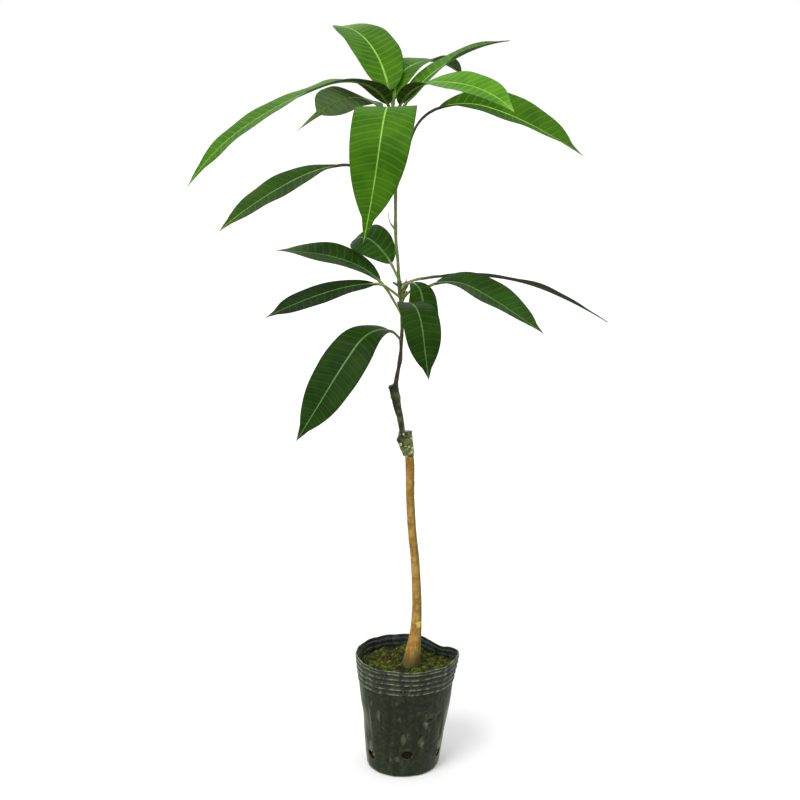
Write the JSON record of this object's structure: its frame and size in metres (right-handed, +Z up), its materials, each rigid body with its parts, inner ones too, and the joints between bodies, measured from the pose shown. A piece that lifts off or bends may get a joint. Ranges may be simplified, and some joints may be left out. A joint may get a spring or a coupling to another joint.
{
  "type": "potted mango sapling",
  "caption": "Young grafted mango plant with a thin trunk, a taped graft, two tiers of long drooping leaves and a soft round nursery pot filled with mossy soil.",
  "frame": {"origin": "centre of the pot's flat underside", "axes": "+Z is up along the plant, +X is to the right of someone facing the plant and +Y points away from them"},
  "size_m": [0.4665, 0.2963, 0.8739],
  "materials": {
    "pot_film": "thin soft black-green film with a satin sheen",
    "soil": "moist soil under moss",
    "bark": "tan young bark with faint rings",
    "tape": "clear wrinkled grafting tape over green wood",
    "green_wood": "knobbly olive wood",
    "dark_wood": "dark brown new wood",
    "young_stem": "smooth green stem",
    "young_leaf": "satin fresh green leaf",
    "old_leaf": "satin dark green leaf"
  },
  "bodies": {
    "root": {"pot": "pot_film", "soil": "soil", "rootstock": "bark", "graft_wrap": "tape", "scion": "green_wood", "shoot_lower": "dark_wood", "shoot_upper": "young_stem", "leaf_upper_back_left": "young_leaf", "leaf_upper_left": "young_leaf", "leaf_upper_back_low": "young_leaf", "leaf_upper_front": "young_leaf", "leaf_upper_low_left": "young_leaf", "leaf_upper_low_right": "young_leaf", "leaf_upper_front_right": "young_leaf", "leaf_upper_right": "young_leaf", "leaf_upper_back_right": "young_leaf", "leaf_lower_back": "old_leaf", "leaf_lower_left_high": "old_leaf", "leaf_lower_left": "old_leaf", "leaf_lower_front": "old_leaf", "leaf_lower_front_inner": "old_leaf", "leaf_lower_right": "old_leaf", "leaf_lower_right_long": "old_leaf", "leaf_lower_hanging": "old_leaf"}
  },
  "joints": []
}
